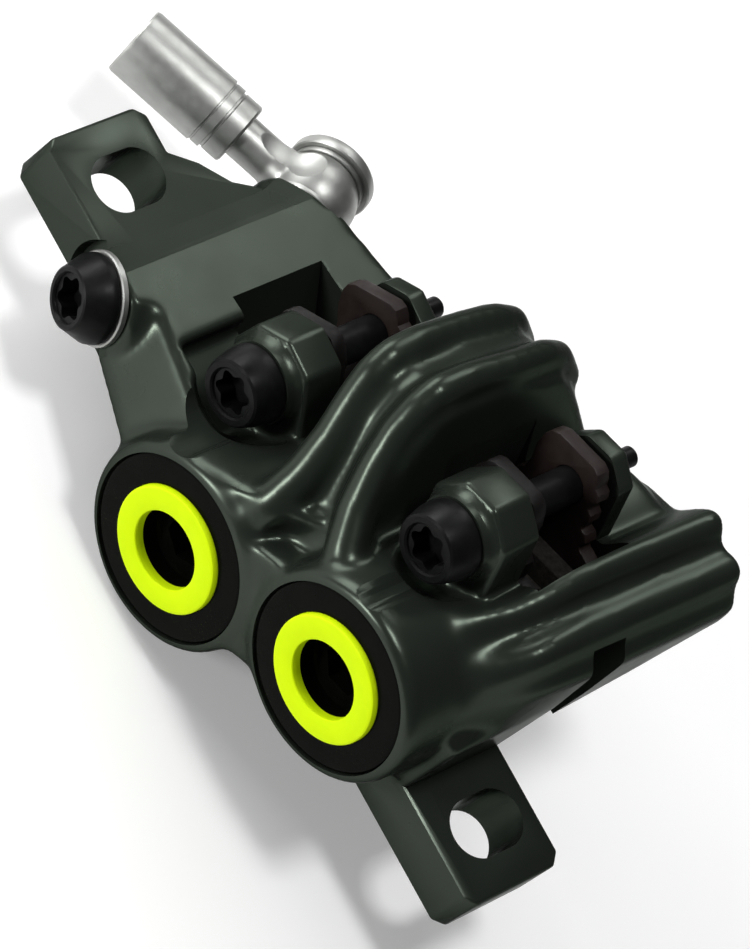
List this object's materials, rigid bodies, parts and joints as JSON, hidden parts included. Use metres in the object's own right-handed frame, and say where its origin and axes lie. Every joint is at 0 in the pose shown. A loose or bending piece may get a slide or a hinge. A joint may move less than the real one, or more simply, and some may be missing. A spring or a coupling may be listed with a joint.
{
  "type": "bicycle_disc_brake_caliper",
  "caption": "Four-piston post-mount bicycle disc brake caliper, dark one-piece body with yellow-ringed bore caps, pads, bleed screw and a silver swivelling hose fitting",
  "frame": {"origin": "Middle of the line between the two mount slots, on the mount face", "axes": "X runs along the mount line from the upper ear to the lower ear, Y across the rotor from the outer side towards the wheel, Z away from the mount face"},
  "size_m": [0.0971, 0.0441, 0.0431],
  "materials": {
    "body_dark": "gloss",
    "black_metal": "satin",
    "ring_yellow": "gloss",
    "silver_metal": "satin",
    "magnet_bright": "polished",
    "piston_dark": "matte",
    "plate_brown": "satin",
    "lining_dark": "matte",
    "seal_rubber": "matte"
  },
  "bodies": {
    "caliper": {"caliper_body": "body_dark", "cap_upper": "black_metal", "cap_lower": "black_metal", "cap_ring_upper": "ring_yellow", "cap_ring_lower": "ring_yellow", "cap_seal_upper": "seal_rubber", "cap_seal_lower": "seal_rubber", "seal_outer_upper": "seal_rubber", "seal_outer_lower": "seal_rubber", "seal_inner_upper": "seal_rubber", "seal_inner_lower": "seal_rubber", "pad_screws": "black_metal", "bleed_screw": "black_metal", "bleed_washer": "silver_metal", "hose_bolt": "silver_metal", "hose_washer_inner": "silver_metal", "hose_washer_outer": "silver_metal"},
    "hose": {"hose_fitting": "silver_metal", "hose_sleeve": "silver_metal"},
    "pad_outer_upper": {"piston_outer_upper": "piston_dark", "magnet_outer_upper": "magnet_bright", "plate_outer_upper": "plate_brown", "lining_outer_upper": "lining_dark"},
    "pad_outer_lower": {"piston_outer_lower": "piston_dark", "magnet_outer_lower": "magnet_bright", "plate_outer_lower": "plate_brown", "lining_outer_lower": "lining_dark"},
    "pad_inner_upper": {"piston_inner_upper": "piston_dark", "magnet_inner_upper": "magnet_bright", "plate_inner_upper": "plate_brown", "lining_inner_upper": "lining_dark"},
    "pad_inner_lower": {"piston_inner_lower": "piston_dark", "magnet_inner_lower": "magnet_bright", "plate_inner_lower": "plate_brown", "lining_inner_lower": "lining_dark"}
  },
  "joints": [
    {"name": "press_outer_upper", "type": "slide", "parent": "caliper", "child": "pad_outer_upper", "axis": [0, 1, 0], "range_m": [0, 0.00125], "stiffness_N_per_m": 400},
    {"name": "press_outer_lower", "type": "slide", "parent": "caliper", "child": "pad_outer_lower", "axis": [0, 1, 0], "range_m": [0, 0.00125], "stiffness_N_per_m": 400},
    {"name": "press_inner_upper", "type": "slide", "parent": "caliper", "child": "pad_inner_upper", "axis": [0, -1, 0], "range_m": [0, 0.00125], "stiffness_N_per_m": 400},
    {"name": "press_inner_lower", "type": "slide", "parent": "caliper", "child": "pad_inner_lower", "axis": [0, -1, 0], "range_m": [0, 0.00125], "stiffness_N_per_m": 400},
    {"name": "hose_swivel", "type": "hinge", "parent": "caliper", "child": "hose", "pos_m": [-0.0277, 0.0197, 0.0034], "axis": [-0.3584, 0.9336, 0], "range_deg": [-80, 80]}
  ],
  "couplings": [
    {"joint": "press_outer_lower", "follows": "press_outer_upper", "ratio": 1},
    {"joint": "press_inner_upper", "follows": "press_outer_upper", "ratio": 1},
    {"joint": "press_inner_lower", "follows": "press_outer_upper", "ratio": 1}
  ]
}
